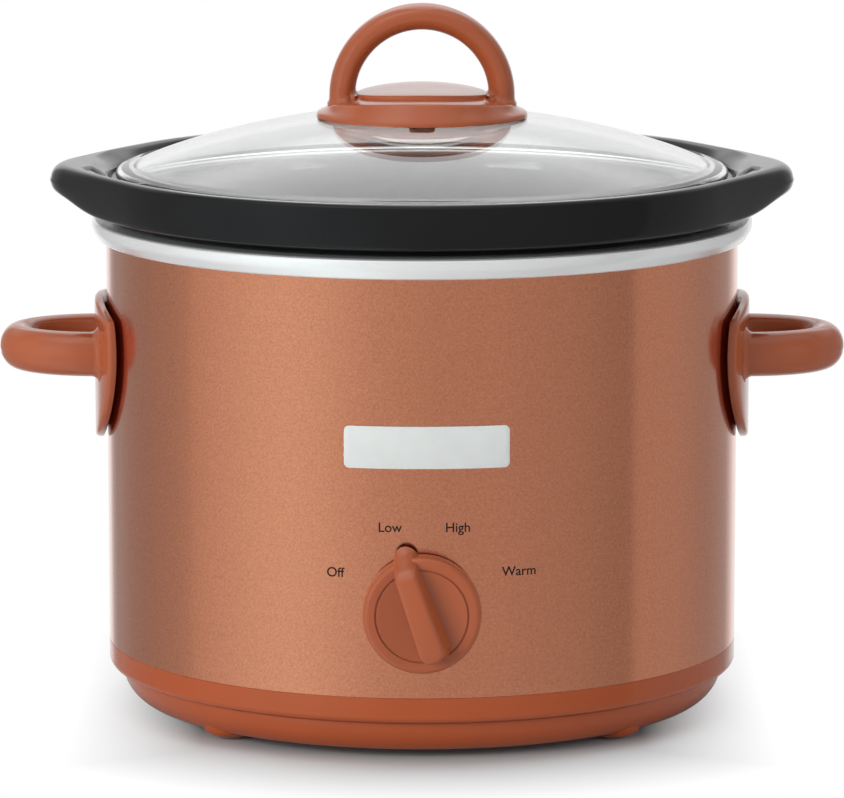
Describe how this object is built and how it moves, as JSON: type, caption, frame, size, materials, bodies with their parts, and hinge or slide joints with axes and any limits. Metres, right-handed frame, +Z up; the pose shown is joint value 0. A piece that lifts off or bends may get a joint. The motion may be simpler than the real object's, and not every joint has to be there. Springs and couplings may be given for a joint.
{
  "type": "slow cooker",
  "caption": "Round slow cooker: copper-painted heating base with loop handles and a rotary switch, lift-out black stoneware crock with lugs, and a domed glass lid with an arch handle.",
  "frame": {"origin": "on the ground under the middle of the whole appliance's bounding box; the body's own vertical axis is 4.85 mm behind it, because the knob reaches further forward than the flange reaches back", "axes": "+Z up; -Y is the front, with the switch knob; +X and -X are the sides with the loop handles and the crock's lugs; +Y is the back, with the cord inlet"},
  "size_m": [0.306, 0.2518, 0.2541],
  "materials": {
    "terracotta_plastic": "smooth moulded",
    "copper_paint": "glossy metallic paint with fine flake",
    "bright_aluminium": "bright satin",
    "black_glaze": "glossy",
    "clear_glass": "clear polished",
    "zinc_steel": "zinc plated",
    "heater_sheath": "dull sheet steel over mica",
    "black_plastic": "moulded",
    "glass_fibre": "braided sleeve",
    "cam_plastic": "moulded",
    "silicone": "translucent"
  },
  "bodies": {
    "heating_base": {"base_pan": "terracotta_plastic", "outer_shell": "copper_paint", "heating_well": "bright_aluminium", "heater_band": "heater_sheath", "heater_clamp": "zinc_steel", "clamp_screw": "zinc_steel", "thermal_fuse": "glass_fibre", "fuse_clip": "zinc_steel", "centre_stud": "zinc_steel", "spacer_sleeve": "zinc_steel", "heat_shield": "bright_aluminium", "shield_nut": "zinc_steel", "base_washer": "zinc_steel", "base_nut": "zinc_steel", "handle_left": "terracotta_plastic", "handle_right": "terracotta_plastic", "handle_screws_left": "zinc_steel", "handle_screws_right": "zinc_steel", "switch_housing": "black_plastic", "switch_cover": "black_plastic", "switch_terminals": "zinc_steel", "switch_nut": "zinc_steel", "cord_inlet": "black_plastic"},
    "knob_assembly": {"control_knob": "terracotta_plastic", "switch_shaft": "zinc_steel", "switch_rotor": "cam_plastic"},
    "crock_body": {"crock": "black_glaze"},
    "lid_assembly": {"lid_glass": "clear_glass", "lid_handle": "terracotta_plastic", "lid_gasket": "silicone", "lid_washer": "zinc_steel", "lid_screw": "zinc_steel"}
  },
  "joints": [
    {"name": "knob_turn", "type": "hinge", "parent": "heating_base", "child": "knob_assembly", "pos_m": [0, -0.10915, 0.0546], "axis": [0, 1, 0], "range_deg": [-48.5, 86.5]},
    {"name": "crock_lift", "type": "slide", "parent": "heating_base", "child": "crock_body", "axis": [0, 0, 1], "range_m": [0, 0.12]},
    {"name": "lid_lift", "type": "slide", "parent": "crock_body", "child": "lid_assembly", "axis": [0, 0, 1], "range_m": [0, 0.08]}
  ]
}
